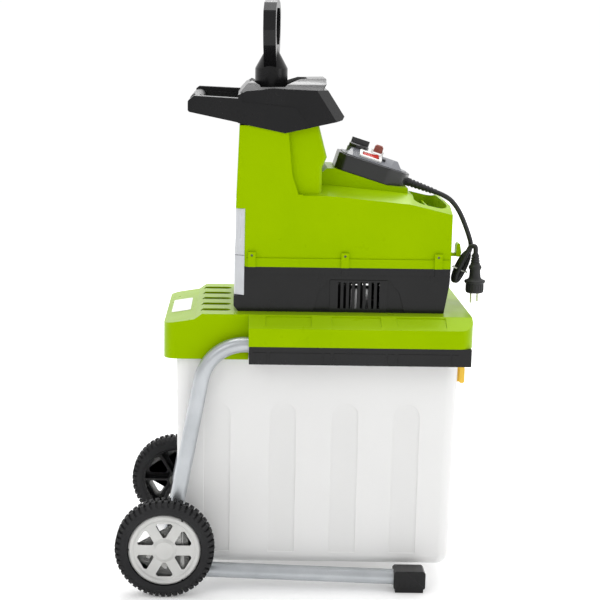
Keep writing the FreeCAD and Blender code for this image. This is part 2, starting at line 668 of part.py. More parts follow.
def make_hood():
    """Black funnel cover with two side arms for the carry grip."""
    half = D.hood_half
    body = pad("XZ", [(-106, 850), (-22, 833), (80, 856), (84, 862), (54, 908), (-42, 911), (-92, 906),
                      (-106, 899)], -half, half)
    crown = solid_node(ruled([[(-103, -118, 903), (43, -118, 905), (43, 118, 905), (-103, 118, 903)],
                              [(-92, -98, 916), (51, -98, 918), (51, 98, 918), (-92, 98, 916)],
                              [(-80, -62, 924), (52, -62, 927), (52, 62, 927), (-80, 62, 924)]]), None)
    arms = []
    for side in (-1, 1):
        y0, y1 = sorted((side * 96.0, side * 128.0))
        arms.append(pad("XZ", [(-195, 869), (-104, 850.5), (-100, 893), (-184, 897), (-195, 888)],
                        y0, y1, [(5, lambda e: runs_along("Y")(e) and e.CenterOfMass.x < -150)]))
    arms.append(pad("XZ", [(-186, 888), (-100, 885), (-100, 902), (-182, 905), (-188, 900)],
                    100, 120, [(3, lambda e: runs_along("Y")(e) and e.CenterOfMass.x < -150)]))
    hollow = pad("XZ", [(-102, 846), (-24, 829), (54, 847), (30, 902), (-42, 906), (-90, 901),
                        (-102, 895)], -half + 3, half - 3)
    front_hollow = pad("XZ", [(46, 845), (75, 851), (79, 863), (52, 903), (26, 903)], -98, 98)
    corners = []
    for side in (-1, 1):
        def corner(z, s=side):
            x = 84.0 - (z - 862.0) * 30.0 / 46.0
            return [(x - 23, s * 129.3, z), (x + 12, s * 129.3, z), (x + 12, s * 84.7, z)]
        corners.append(solid_node(ruled([corner(825.0), corner(945.0)]), None))
    funnel = throat(D.throat_half_x + 5, D.throat_half_y + 5, D.tower_top + 0.5, 896, 18)
    basin = pad("XY", basin_outline(3), 891, 906)
    for side in (-1, 1):
        y0, y1 = sorted((side * 126.2, side * 130.0))
        corners.append(pad("XZ", [(-99, 887), (-3, 878), (27, 838), (100, 838), (100, 930), (-99, 930)],
                           y0, y1))
    outer = cut(fuse(body, crown, *arms), hollow, front_hollow, *corners)
    shell = fuse(outer, funnel, basin)
    bowl = pad("XY", basin_outline(0), 895.8, 940)
    mouth = throat(D.throat_half_x + 0.5, D.throat_half_y + 0.5, 820, 940)
    node(cut(shell, bowl, mouth), "hopper_hood")
    grip = turned("Y", [(-96, 0.0), (-96, 10), (-88, D.grip_radius), (88, D.grip_radius), (96, 10),
                        (96, 0.0)], (-180, 887))
    node(grip, "carry_grip")

    chute = throat(D.throat_half_x + 3.5, D.throat_half_y + 3.5, 701.4, D.tower_top, 17)
    neck = pad("XY", [(-87.4, -58.5), (-5, -58.5), (-5, 58.5), (-87.4, 58.5)], 658, 703,
               [(12, runs_along("Z"))])
    neck_room = pad("XY", [(-84, -55.5), (-8, -55.5), (-8, 55.5), (-84, 55.5)], 650, 706,
                    [(9, runs_along("Z"))])
    chute_room = throat(D.throat_half_x + 0.5, D.throat_half_y + 0.5, 704.6, 850)
    node(cut(fuse(chute, neck), chute_room, neck_room), "feed_chute")


def make_plunger():
    """Feed pusher: D-shaped handle on a cone, over a tube with a guide foot."""
    cx = D.plunger_place
    centre = (cx, 0)
    cap = turned("Z", [(896.3, 0.0), (896.3, 38.5), (899, 38.5), (901, D.plunger_radius),
                       (943, D.plunger_radius), (947, D.plunger_radius - 2),
                       (974, 13), (984, 12), (984, 0.0)], centre)
    band = pad("YZ", [(-27, 945), (27, 945), (44, 985), (50, 1012), (50, 1046), (34, 1062), (10, 1067),
                      (-10, 1067), (-34, 1062), (-50, 1046), (-50, 1012), (-44, 985)], -11.5, 11.5,
               [(6, runs_along("X"))])
    grip_room = pad("YZ", [(-24, 986), (24, 986), (35, 1001), (38, 1014), (38, 1040), (27, 1052),
                           (-27, 1052), (-38, 1040), (-38, 1014), (-35, 1001)], -14, 14,
                    [(5, runs_along("X"))])
    turned_loop = moved(cut(band, grip_room), (cx, 0, 0), "Z", -6.5)
    node(fuse(cap, turned_loop), "plunger_handle")
    tube = cut(rod("Z", D.plunger_radius - 0.5, 742, 896.3, centre),
               rod("Z", D.plunger_radius - 3.5, 746, 893, centre))
    foot_plate = throat(D.throat_half_x - 1.5, D.throat_half_y - 1.5, 736, 744, 13)
    node(fuse(tube, foot_plate), "plunger_tube")


# --------------------------------------------------------------------------- control console
def console_part(obj):
    """Put a piece drawn flat in the console's own frame in its tilted place."""
    holder = doc.addObject("Part::Compound", "OnConsole")
    holder.Links = [obj]
    holder.Placement = Placement(Vector(num(D.console_x), 0, num(D.console_z)),
                                 Rotation(Vector(0, 1, 0), num(D.console_tilt)))
    return holder


def console_outline(inset, low, high, round_front, round_back, top_round=0.0):
    """Outline of the console: straight sides, a short back and a bowed front end."""
    half = D.console_half - inset
    length = D.console_length - inset
    back = Size.of(0) + inset
    rounds = [(round_front, lambda e: runs_along("Z")(e) and e.CenterOfMass.x > 70),
              (round_back, lambda e: runs_along("Z")(e) and e.CenterOfMass.x < 70)]
    if top_round:
        rise = (num(high) - num(low)) / 2.0
        rounds.append((top_round, edge_near("Z", rise)))
    return pad("XY", [(back, -half + 21), (11, -half), (98, -half), (length - 12, -half + 13),
                      (length, -half + 38), (length, half - 38), (length - 12, half - 13), (98, half),
                      (11, half), (back, half - 21)], low, high, rounds)


def on_slope(obj):
    """Turn a piece drawn flat beside the knob on to the near slope of the crowned plate."""
    surface = num(D.console_height) + 1.5
    flat = moved(obj, (0, 26, -surface), "X", 0)
    return moved(flat, (0, -26, surface + 6.75), "X", 18.2)


def make_console():
    top = D.console_height
    surface = num(top) + 1.5
    knob_place = (35, 10)
    body = console_outline(0.0, 0.2, top, 30, 9, 2.5)
    room = console_outline(6.0, top - 1.5, top + 3, 24, 6)
    front_rise = pad("XZ", [(100, -1), (150, -1), (150, 9.5), (100, 0.2)], -60, 60)

    def openings():
        return [rod("Z", 5.05, 8, top + 20, knob_place),
                on_slope(block(39.2, 76.8, -37.8, -14.2, 8, top + 5)),
                on_slope(rod("Z", 3.25, 8, top + 9, (84, -26)))]
    node(console_part(cut(body, room, front_rise, *openings())), "console_body")

    def crown_outline(back, back_side, start, finish, side, front, front_side, z):
        half = [(back, back_side), (start, side), (finish, side), (front, front_side)]
        near = [(x, -y, z) for x, y in half]
        return near + [(x, y, z) for x, y in reversed(half)]
    flat = console_outline(6.3, top - 1.5, top + 1.5, 23.7, 5.7)
    crown = solid_node(ruled([crown_outline(14, 34, 24, 98, 47.5, 121, 30, surface - 0.3),
                              crown_outline(22, 8, 25, 104, 10, 112, 7, surface + 12)]), None)
    boss = rod("Z", 20.5, surface - 0.5, surface + 12, knob_place)
    node(console_part(cut(fuse(flat, crown, boss), *openings())), "console_plate")
    knob = turned("Z", [(10, 0.0), (10, 5), (surface + 12.3, 5), (surface + 12.3, 19),
                        (surface + 18, 19), (surface + 20, 17), (surface + 20, 0.0)], knob_place)
    wing = pad("XY", [(18, 6), (50, 7.5), (53, 10), (50, 12.5), (18, 14)], surface + 19, surface + 30,
               [(1.5, runs_along("Z"))])
    node(console_part(fuse(knob, wing)), "selector_knob")
    frame = pad("XY", [(37, -40), (79, -40), (79, -12), (37, -12)], top + 1.5, top + 4.5,
                [(3, runs_along("Z"))])
    well = block(39.5, 76.5, -37.5, -14.5, 10, top + 2)
    opening = block(42, 74, -34, -18, 12, top + 6)
    cheeks = [cut(block(52, 64, y0, y0 + 3, top - 5.5, top + 2.2),
                  rod("Y", 1.3, y0 - 1, y0 + 4, (58, top - 2))) for y0 in (-37.3, -17.7)]
    ears = [block(57.5, 60.5, -12.5, -5.5, top + 1.6, top + 12),
            block(77.5, 80.5, -12.5, -5.5, top + 1.6, top + 12)]
    pin = rod("X", 1.2, 58, 80, (-9, top + 9.5))
    bezel = fuse(cut(frame, well, opening), *cheeks, *ears, pin)
    node(console_part(on_slope(bezel)), "rocker_bezel")
    rocker = pad("XZ", [(43.5, top - 6), (72.5, top - 6), (72.5, top + 6.5), (58, top + 3.6),
                        (43.5, top + 3)], -33.5, -18.5, [(1, runs_along("Y"))])
    trunnion = rod("Y", 1.2, -37, -15, (58, top - 2))
    node(console_part(on_slope(fuse(rocker, trunnion))), "power_rocker")
    leaf = pad("XZ", [(61, top + 7), (77, top + 7), (77, top + 18), (74, top + 21),
                      (64, top + 21), (61, top + 18)], -11.5, -6.5)
    hinge_room = rod("X", 1.25, 60, 78, (-9, top + 9.5))
    node(console_part(on_slope(cut(leaf, hinge_room))), "switch_cover")
    button = turned("Z", [(12, 0.0), (12, 3.2), (top + 4.5, 3.2), (top + 5, 2.6), (top + 5, 0.0)],
                    (84, -26))
    node(console_part(on_slope(button)), "reset_button")


# --------------------------------------------------------------------------- lead
RELIEF_START = Vector(208.8, 0, 738.0)
RELIEF_END = Vector(265, 0, 718.2)
LEAD_ROUTE = [RELIEF_END, Vector(283.5, 0, 711.5), Vector(299, 0, 699), Vector(311, 0, 682),
              Vector(321, 0, 661), Vector(330, 0, 638), Vector(337, 0, 617)]


def route_radii(points):
    """Arc radius at each inner point: as large as its two runs allow."""
    radii = []
    for i in range(1, len(points) - 1):
        back = points[i - 1] - points[i]
        ahead = points[i + 1] - points[i]
        half_turn = (math.pi - back.getAngle(ahead)) / 2.0
        radii.append(0.45 * min(back.Length, ahead.Length) / math.tan(half_turn))
    return radii


def hank_form():
    """Body of the folded lead as it hangs from the hook."""
    return pad("XZ", [(300, 606), (308, 614), (326, 621), (342, 626), (347, 616), (339, 598),
                      (323, 553), (311, 539), (303, 538), (299, 547)], -14, 14,
               [(4, runs_along("Y"))])


def make_lead():
    along = RELIEF_END - RELIEF_START
    relief = doc.addObject("Part::Cone", "Cone")
    bind(relief, "Radius1", D.cord_radius + 3.5)
    bind(relief, "Radius2", D.cord_radius + 1)
    relief.Height = along.Length
    relief.Placement = Placement(RELIEF_START, Rotation(Vector(0, 0, 1), along))
    node(relief, "strain_relief")
    radii = route_radii(LEAD_ROUTE)
    path = bent_path(LEAD_ROUTE, radii)
    tube = sweep_round(path, num(D.cord_radius))
    section = math.pi * num(D.cord_radius) ** 2
    print("lead radii", [round(r) for r in radii], "length %.1f" % path.Length,
          "volume ratio %.4f" % (tube.Volume / (section * path.Length)))
    solid_node(tube, "power_cord")

    folds = hank_form()
    top_turn = block(331, 349, -33, -12, 606.6, 624)
    hook_room = fuse(block(280, 314.5, -5.2, 5.2, 597.8, 604.2),
                     block(305.8, 316.5, -11.2, 11.2, 597.8, 624))
    node(cut(fuse(folds, top_turn), hook_room), "cord_hank")
    tie = pad("XZ", [(297, 571), (331, 584), (330, 587), (296, 574)], -15.2, 15.2)
    node(cut(tie, hank_form()), "cord_tie")

    spin = Rotation(Vector(0, 1, 0), -0.8)
    foot_place = Placement(Vector(341.5, -24, 533), spin)
    plug = turned("Z", [(0, 0.0), (0, 15.5), (2, 16.5), (18, 16.5), (19.5, 19.5), (23, 19.5), (26, 12),
                        (30, 10.5), (43, 10), (46, 12), (50, 12), (53, 8.5), (73.5, 6.5), (73.5, 0.0)])
    plug_holder = doc.addObject("Part::Compound", "Plug")
    plug_holder.Links = [plug]
    plug_holder.Placement = foot_place
    node(plug_holder, "plug_body")
    pins = group(rod("Z", 2.4, -19, 0, (-7.2, -6.2)), rod("Z", 2.4, -19, 0, (7.2, 6.2)))
    pins.Placement = foot_place
    node(pins, "plug_pins")


# --------------------------------------------------------------------------- drive line
def gear(teeth, module, x0, x1, centre, phase, bore):
    """Straight-cut gear with thinned stub teeth, cut round its bore."""
    pitch = teeth * module / 2.0
    tip, root = pitch + 0.8 * module, pitch - 1.1 * module
    step = 2 * math.pi / teeth
    outline = []
    for i in range(teeth):
        middle = phase + i * step
        for radius, share in ((root, -0.31), (tip, -0.115), (tip, 0.115), (root, 0.31)):
            angle = middle + share * step
            outline.append(Vector(x0, centre[0] + radius * math.cos(angle),
                                  centre[1] + radius * math.sin(angle)))
    face = Part.Face(Part.makePolygon(outline + [outline[0]]))
    blank = face.extrude(Vector(x1 - x0, 0, 0))
    return blank.cut(Part.makeCylinder(bore, x1 - x0, Vector(x0, centre[0], centre[1]), Vector(1, 0, 0)))


def make_drive():
    z = num(D.drive_height)
    gap = num(D.shaft_gap)
    axis = (0.0, D.drive_height)
    side_axis = (D.shaft_gap, D.drive_height)

    stator = turned("X", [(140, 36), (146, 40), (146, 36), (208, 36), (208, 40), (214, 36),
                          (218, 42), (214, 54), (208, 56), (146, 56), (140, 54), (136, 42)], axis)
    node(stator, "motor_stator")
    rotor = turned("X", [(90, 0.0), (90, 7), (144, 7), (144, 35), (210, 35), (210, 7), (262, 7),
                         (262, 0.0)], axis)
    node(rotor, "motor_rotor")
    shields = []
    for plate_low, plate_high, skirt_low, skirt_high, boss_low, boss_high in (
            (126, 131, 126, 150, 122, 131), (248, 253, 204, 253, 248, 257)):
        skirt = cut(rod("X", 59, skirt_low, skirt_high, axis),
                    rod("X", 56, skirt_low - 1, skirt_high + 1, axis))
        plate = rod("X", 57, plate_low, plate_high, axis)
        boss = rod("X", 16, boss_low, boss_high, axis)
        shields.append(cut(fuse(plate, boss, skirt), rod("X", 12, 100, 270, axis)))
    node(group(*shields), "motor_end_shields")
    bearings = []
    for x0 in (122.2, 247.8):
        bearings.append(cut(rod("X", 12, x0, x0 + 9, axis), rod("X", 7.05, x0 - 1, x0 + 10, axis)))
    node(group(*bearings), "motor_bearings")
    hub = cut(rod("X", 12, 224, 240, axis), rod("X", 7, 220, 244, axis))
    disc = cut(rod("X", 46, 238, 240, axis), rod("X", 11, 236, 242, axis))
    blades = []
    for i in range(9):
        blade = block(226, 238.5, 11, 46, -1, 1)
        blades.append(moved(blade, (0, 0, D.drive_height), "X", 40 * i))
    node(fuse(hub, disc, *blades), "motor_fan")

    solid_node(gear(12, 1.5, 98.0, 111.0, (0.0, z), 0.0, 7.0), "motor_pinion")
    large = gear(60, 1.5, 99.0, 110.0, (gap, z), math.pi / 60, 7.0)
    small = gear(12, 2.0, 66.0, 84.0, (gap, z), 0.0, 7.0)
    neck = Part.makeCylinder(10.0, 15.0, Vector(84.0, gap, z), Vector(1, 0, 0))
    neck = neck.cut(Part.makeCylinder(7.0, 15.0, Vector(84.0, gap, z), Vector(1, 0, 0)))
    solid_node(large.fuse([small, neck]), "reduction_gear")
    node(rod("X", 7, 53, 119, side_axis), "lay_shaft")
    solid_node(gear(42, 2.0, 67.0, 82.0, (0.0, z), math.pi / 42, 12.0), "drum_gear")

    case = block(50, 120, -50, 108, z - 52, z + 52)
    room = block(55, 115, -46, 104, z - 48, z + 48)
    bores = [rod("X", 7.05, 112, 122, axis), rod("X", 12.05, 48, 56, axis),
             rod("X", 7.05, 48, 122, side_axis)]
    node(cut(case, room, *bores), "gearbox_case")

    shaft = rod("X", 12, -87, 84, axis)
    barrel = rod("X", D.drum_radius - 5, -82, 20, axis)
    edges = []
    for i in range(8):
        edge = pad("YZ", [(-4, 30), (4, 30), (2.5, 42), (-4, 39)], -82, 20)
        edges.append(moved(edge, (0, 0, D.drive_height), "X", 45 * i))
    node(fuse(barrel, shaft, *edges), "cutting_drum")
    chamber = cut(block(-87, 28, -56, 56, z - 54, z + 54), block(-83.5, 24, -52, 52, z - 60, z + 60),
                  rod("X", 12.05, -90, 30, axis), rod("Y", 6.05, 50, 60, (-31, D.drive_height)))
    node(chamber, "cutting_chamber")
    plate = block(-82, 22, 46, 50.5, z - 34, z + 34)
    node(cut(plate, rod("Y", 4.05, 45, 52, (-31, D.drive_height))), "counter_plate")
    screw = fuse(rod("Y", 6, 51, 127.6, (-31, D.drive_height)), rod("Y", 4, 46, 51, (-31, D.drive_height)))
    node(screw, "adjusting_screw")
    knob = turned("Y", [(127.6, 0.0), (127.6, 17), (132, 20), (146, 18), (148, 15), (148, 0.0)],
                  (-31, D.drive_height))
    node(knob, "adjusting_knob")
    can = fuse(rod("X", 17, 140, 205, (85, 545)), rod("X", 5, 132, 141, (85, 545)))
    node(can, "start_capacitor")


make_wheels()
make_deck()
make_rails()
make_box()
make_lower_housing()
make_upper_housing()
make_rear_panels()
make_housing_screws()
make_hood()
make_plunger()
make_console()
make_lead()
make_drive()
doc.recompute()

# --------------------------------------------------------------------------- checks and export
problems = []
for obj in doc.Objects:
    if "Invalid" in obj.State or "Error" in obj.State:
        problems.append("%s (%s): %s" % (obj.Name, obj.Label, obj.State))
for obj in nodes:
    if obj.Shape.isNull() or not obj.Shape.isValid() or obj.Shape.Volume <= 0:
        problems.append("%s: bad shape" % obj.Label)
if problems:
    raise RuntimeError("\n".join(problems))

os.makedirs("parts", exist_ok=True)
for obj in nodes:
    obj.Shape.exportStep("parts/%s.step" % obj.Label)
print(len(nodes), "nodes written")
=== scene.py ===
"""Looks of the garden shredder: cord, detailed pieces, materials, light and camera."""
import json
import math

import bmesh
import bpy
from mathutils import Matrix, Vector


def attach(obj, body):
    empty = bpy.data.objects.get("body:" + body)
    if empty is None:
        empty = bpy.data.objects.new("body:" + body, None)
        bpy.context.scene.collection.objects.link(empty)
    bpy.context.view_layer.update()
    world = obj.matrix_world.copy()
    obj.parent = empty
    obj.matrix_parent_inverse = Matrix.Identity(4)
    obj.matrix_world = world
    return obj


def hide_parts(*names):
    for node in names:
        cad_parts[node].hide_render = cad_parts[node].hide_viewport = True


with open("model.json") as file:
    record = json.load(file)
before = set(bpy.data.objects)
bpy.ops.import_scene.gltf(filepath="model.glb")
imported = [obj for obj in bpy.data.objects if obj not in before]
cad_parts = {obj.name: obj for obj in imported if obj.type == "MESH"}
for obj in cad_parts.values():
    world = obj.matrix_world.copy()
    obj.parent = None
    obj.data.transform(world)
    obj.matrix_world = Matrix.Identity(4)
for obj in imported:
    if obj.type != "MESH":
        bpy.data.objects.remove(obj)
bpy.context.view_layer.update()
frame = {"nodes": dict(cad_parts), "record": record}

NODES = frame["nodes"]
MM = 0.001


def mm(*values):
    """A point given in millimetres, as a vector in metres."""
    return Vector(v * MM for v in values)


# ----------------------------------------------------------------------------- camera and light
def make_camera():
    """A long lens on the latch side, looking slightly down."""
    data = bpy.data.cameras.new("camera")
    data.sensor_width = 36.0
    data.lens = 87.0
    data.shift_x = 0.095
    data.clip_end = 50.0
    camera = bpy.data.objects.new("camera", data)
    bpy.context.scene.collection.objects.link(camera)
    pitch_down = math.radians(10.7)
    roll = math.radians(0.756)
    turn = Matrix.Rotation(math.pi / 2 - pitch_down, 4, "X") @ Matrix.Rotation(roll, 4, "Z")
    eye = (-0.0928, -2.704, 1.0187)
    camera.matrix_world = Matrix.Translation(eye) @ turn
    bpy.context.scene.camera = camera


def area_light(name, place, aim, size, power):
    """A white rectangular light, aimed at a point. Its power is in watts."""
    data = bpy.data.lights.new(name, "AREA")
    data.shape = "RECTANGLE"
    data.size, data.size_y = size
    data.energy = power
    light = bpy.data.objects.new(name, data)
    bpy.context.scene.collection.objects.link(light)
    place = Vector(place)
    turn = (Vector(aim) - place).to_track_quat("-Z", "Y").to_matrix().to_4x4()
    light.matrix_world = Matrix.Translation(place) @ turn


def make_backdrop():
    """White towards +Y and light grey towards -Y, so that the near side keeps its shading."""
    scene = bpy.context.scene
    scene.view_settings.view_transform = "Standard"
    world = bpy.data.worlds.new("studio")
    scene.world = world
    world.use_nodes = True
    tree = world.node_tree
    background = tree.nodes["Background"]
    background.inputs["Color"].default_value = (1.0, 1.0, 1.0, 1.0)
    spot = tree.nodes.new("ShaderNodeTexCoord")
    split = tree.nodes.new("ShaderNodeSeparateXYZ")
    fade = tree.nodes.new("ShaderNodeMapRange")
    fade.interpolation_type = "SMOOTHSTEP"
    fade.inputs["From Min"].default_value = -0.35
    fade.inputs["From Max"].default_value = 0.45
    fade.inputs["To Min"].default_value = 0.72
    fade.inputs["To Max"].default_value = 1.02
    tree.links.new(spot.outputs["Generated"], split.inputs["Vector"])
    tree.links.new(split.outputs["Y"], fade.inputs["Value"])
    tree.links.new(fade.outputs["Result"], background.inputs["Strength"])


def make_lights():
    """Soft light from the camera's side and above, and one behind that glances off the hood's crown."""
    area_light("key", (-1.5, -2.3, 2.3), (0, 0, 0.5), (1.4, 1.4), 11)
    area_light("fill", (2.3, -1.2, 1.5), (0, 0, 0.6), (1.2, 1.8), 10)
    area_light("top", (0.1, 0.3, 2.7), (0, 0, 0.8), (2.0, 1.2), 30)
    area_light("back", (0.0, 2.05, 2.6), (0, 0, 0.92), (1.5, 0.9), 20)


def make_floor():
    """White floor that glows more with distance, so that it runs into the backdrop unseen."""
    mesh = bpy.data.meshes.new("floor")
    side = 6.0
    level = -0.0004
    corners = [(-side, -side, level), (side, -side, level), (side, side, level), (-side, side, level)]
    mesh.from_pydata(corners, [], [(0, 1, 2, 3)])
    floor = bpy.data.objects.new("floor", mesh)
    bpy.context.scene.collection.objects.link(floor)
    paint = bpy.data.materials.new("floor_paint")
    paint.use_nodes = True
    shader = paint.node_tree.nodes["Principled BSDF"]
    shader.inputs["Base Color"].default_value = (0.97, 0.97, 0.97, 1)
    shader.inputs["Roughness"].default_value = 0.85
    shader.inputs["Emission Color"].default_value = (1.0, 1.0, 1.0, 1)
    nodes, links = paint.node_tree.nodes, paint.node_tree.links
    place = nodes.new("ShaderNodeTexCoord")
    reach = nodes.new("ShaderNodeVectorMath")
    reach.operation = "LENGTH"
    glow = nodes.new("ShaderNodeMapRange")
    glow.interpolation_type = "SMOOTHSTEP"
    glow.inputs["From Min"].default_value = 0.9
    glow.inputs["From Max"].default_value = 3.2
    glow.inputs["To Min"].default_value = 0.16
    glow.inputs["To Max"].default_value = 0.7
    links.new(place.outputs["Object"], reach.inputs[0])
    links.new(reach.outputs["Value"], glow.inputs["Value"])
    links.new(glow.outputs["Result"], shader.inputs["Emission Strength"])
    mesh.materials.append(paint)


# ----------------------------------------------------------------------------- materials
class Paint:
    """A node material under construction."""

    def __init__(self, name, rough=0.5, metal=0.0):
        self.material = bpy.data.materials.new(name)
        self.material.use_nodes = True
        self.tree = self.material.node_tree
        self.shader = self.tree.nodes["Principled BSDF"]
        self.set("Roughness", rough)
        self.set("Metallic", metal)
        self.coords = self.add("ShaderNodeTexCoord").outputs["Object"]

    def add(self, kind, **settings):
        made = self.tree.nodes.new(kind)
        for key, value in settings.items():
            setattr(made, key, value)
        return made

    def link(self, a, b):
        self.tree.links.new(a, b)

    def set(self, socket, value):
        self.shader.inputs[socket].default_value = value

    def noise(self, scale, detail=4.0, stretch=(1, 1, 1), rough=0.55):
        mapping = self.add("ShaderNodeMapping")
        mapping.inputs["Scale"].default_value = stretch
        self.link(self.coords, mapping.inputs["Vector"])
        made = self.add("ShaderNodeTexNoise")
        made.inputs["Scale"].default_value = scale
        made.inputs["Detail"].default_value = detail
        made.inputs["Roughness"].default_value = rough
        self.link(mapping.outputs["Vector"], made.inputs["Vector"])
        return made.outputs["Fac"]

    def ramp(self, source, low, high, at=(0.3, 0.7)):
        made = self.add("ShaderNodeValToRGB")
        first, last = made.color_ramp.elements
        first.position, last.position = at
        first.color = (*low, 1)
        last.color = (*high, 1)
        self.link(source, made.inputs["Fac"])
        return made.outputs["Color"]

    def span(self, source, low, high, at=(0.3, 0.7)):
        made = self.add("ShaderNodeMapRange")
        made.inputs["From Min"].default_value, made.inputs["From Max"].default_value = at
        made.inputs["To Min"].default_value, made.inputs["To Max"].default_value = low, high
        self.link(source, made.inputs["Value"])
        return made.outputs["Result"]

    def bump(self, source, distance, strength=1.0, onto=None):
        made = self.add("ShaderNodeBump")
        made.inputs["Distance"].default_value = distance
        made.inputs["Strength"].default_value = strength
        self.link(source, made.inputs["Height"])
        if onto is not None:
            self.link(onto, made.inputs["Normal"])
        self.link(made.outputs["Normal"], self.shader.inputs["Normal"])
        return made.outputs["Normal"]


def moulded(name, dark, light, rough, grain=900.0, depth=0.00012, coat=0.0, spread=0.03, shine=0.3,
            glint=(1.0, 1.0, 1.0)):
    """Moulded plastic: slow colour drift, roughness patches and a fine leather-like grain."""
    paint = Paint(name, rough)
    paint.link(paint.ramp(paint.noise(5.0, 3.0), dark, light), paint.shader.inputs["Base Color"])
    paint.link(paint.span(paint.noise(34.0, 5.0), rough - spread, rough + spread),
               paint.shader.inputs["Roughness"])
    fine = paint.bump(paint.noise(grain, 2.0), depth, 0.6)
    paint.bump(paint.noise(11.0, 1.0), 0.0005, 0.12, onto=fine)
    paint.set("Specular IOR Level", shine)
    paint.set("Specular Tint", (*glint, 1.0))
    paint.set("Coat Weight", coat)
    paint.set("Coat Roughness", 0.18)
    return paint.material


def metal(name, dark, light, rough, stretch=(1, 1, 1), scale=300.0, depth=0.00006, metallic=1.0):
    """Metal or metallic paint: slow colour drift, with streaks drawn out by the stretch."""
    paint = Paint(name, rough, metallic)
    paint.link(paint.ramp(paint.noise(14.0, 4.0), dark, light), paint.shader.inputs["Base Color"])
    streak = paint.noise(scale, 3.0, stretch)
    paint.link(paint.span(streak, rough - 0.08, rough + 0.1), paint.shader.inputs["Roughness"])
    paint.bump(streak, depth, 0.5)
    return paint.material


def milky(name):
    """Milky moulded plastic that lets a little light in, with slow waves in its surface."""
    paint = Paint(name, 0.38)
    paint.link(paint.ramp(paint.noise(3.0, 2.0), (0.86, 0.857, 0.85), (0.90, 0.897, 0.89)),
               paint.shader.inputs["Base Color"])
    paint.set("Subsurface Weight", 0.22)
    paint.set("Subsurface Radius", (1.0, 1.0, 1.0))
    paint.set("Subsurface Scale", 0.035)
    paint.set("Transmission Weight", 0.05)
    paint.set("IOR", 1.45)
    fine = paint.bump(paint.noise(700.0, 2.0), 0.00008, 0.5)
    paint.bump(paint.noise(9.0, 2.0), 0.0012, 0.35, onto=fine)
    return paint.material


def make_materials():
    """One material for each slot that the record names."""
    return {
        "lime_plastic": moulded("lime_plastic", (0.245, 0.405, 0.0), (0.285, 0.445, 0.0), 0.30, shine=0.5,
                                glint=(0.55, 0.8, 0.0)),
        "black_plastic": moulded("black_plastic", (0.004, 0.004, 0.0045), (0.008, 0.008, 0.0085), 0.25,
                                 grain=1100.0, depth=0.00008, coat=0.16, shine=0.3,
                                 glint=(0.6, 0.6, 0.6)),
        "silver_paint": metal("silver_paint", (0.40, 0.42, 0.44), (0.50, 0.52, 0.54), 0.34,
                              scale=1500.0, metallic=0.75),
        "steel": metal("steel", (0.24, 0.24, 0.245), (0.36, 0.36, 0.365), 0.4, (1, 0.05, 1)),
        "zinc": metal("zinc", (0.07, 0.07, 0.07), (0.13, 0.13, 0.12), 0.4),
        "tyre_black": moulded("tyre_black", (0.008, 0.008, 0.009), (0.018, 0.018, 0.019), 0.7,
                              grain=700.0, depth=0.0003),
        "hubcap_silver": metal("hubcap_silver", (0.45, 0.45, 0.44), (0.55, 0.55, 0.535), 0.38,
                               scale=1800.0, metallic=0.45),
        "milky_plastic": milky("milky_plastic"),
        "latch_yellow": moulded("latch_yellow", (0.74, 0.44, 0.03), (0.84, 0.54, 0.06), 0.35),
        "panel_grey": metal("panel_grey", (0.44, 0.45, 0.47), (0.56, 0.57, 0.60), 0.35,
                            (1, 1, 0.05), metallic=0.5),
        "console_black": moulded("console_black", (0.012, 0.012, 0.013), (0.02, 0.02, 0.022), 0.3,
                                 coat=0.3),
        "console_grey": moulded("console_grey", (0.10, 0.105, 0.12), (0.15, 0.155, 0.175), 0.3,
                                coat=0.15),
        "switch_white": moulded("switch_white", (0.78, 0.78, 0.76), (0.86, 0.86, 0.84), 0.3),
        "switch_red": moulded("switch_red", (0.42, 0.02, 0.015), (0.52, 0.03, 0.02), 0.3),
        "switch_brown": moulded("switch_brown", (0.22, 0.06, 0.045), (0.30, 0.09, 0.065), 0.32),
        "rubber_cord": moulded("rubber_cord", (0.018, 0.018, 0.020), (0.032, 0.032, 0.035), 0.5,
                               grain=1500.0),
        "tie_wire": moulded("tie_wire", (0.55, 0.55, 0.50), (0.75, 0.75, 0.70), 0.6),
        "plug_black": moulded("plug_black", (0.018, 0.018, 0.019), (0.034, 0.034, 0.036), 0.55,
                              grain=1300.0),
        "nickel": metal("nickel", (0.62, 0.60, 0.56), (0.78, 0.76, 0.72), 0.22),
        "cast_alloy": metal("cast_alloy", (0.10, 0.10, 0.105), (0.16, 0.16, 0.165), 0.6, scale=500.0,
                            depth=0.0003, metallic=0.4),
        "gear_steel": metal("gear_steel", (0.28, 0.28, 0.29), (0.40, 0.40, 0.41), 0.3, (0.1, 1, 1)),
        "tool_steel": metal("tool_steel", (0.24, 0.24, 0.25), (0.36, 0.36, 0.37), 0.32, (0.1, 1, 1)),
        "lamination": metal("lamination", (0.03, 0.03, 0.032), (0.06, 0.06, 0.064), 0.6,
                            (60, 0.1, 0.1), 20.0, 0.0003, metallic=0.2),
        "label_white": moulded("label_white", (0.86, 0.86, 0.84), (0.92, 0.92, 0.90), 0.4),
        "can_grey": metal("can_grey", (0.16, 0.16, 0.17), (0.24, 0.24, 0.25), 0.5, (1, 1, 0.1),
                          metallic=0.3),
    }


make_camera()
make_backdrop()
make_lights()
make_floor()
MATERIALS = make_materials()
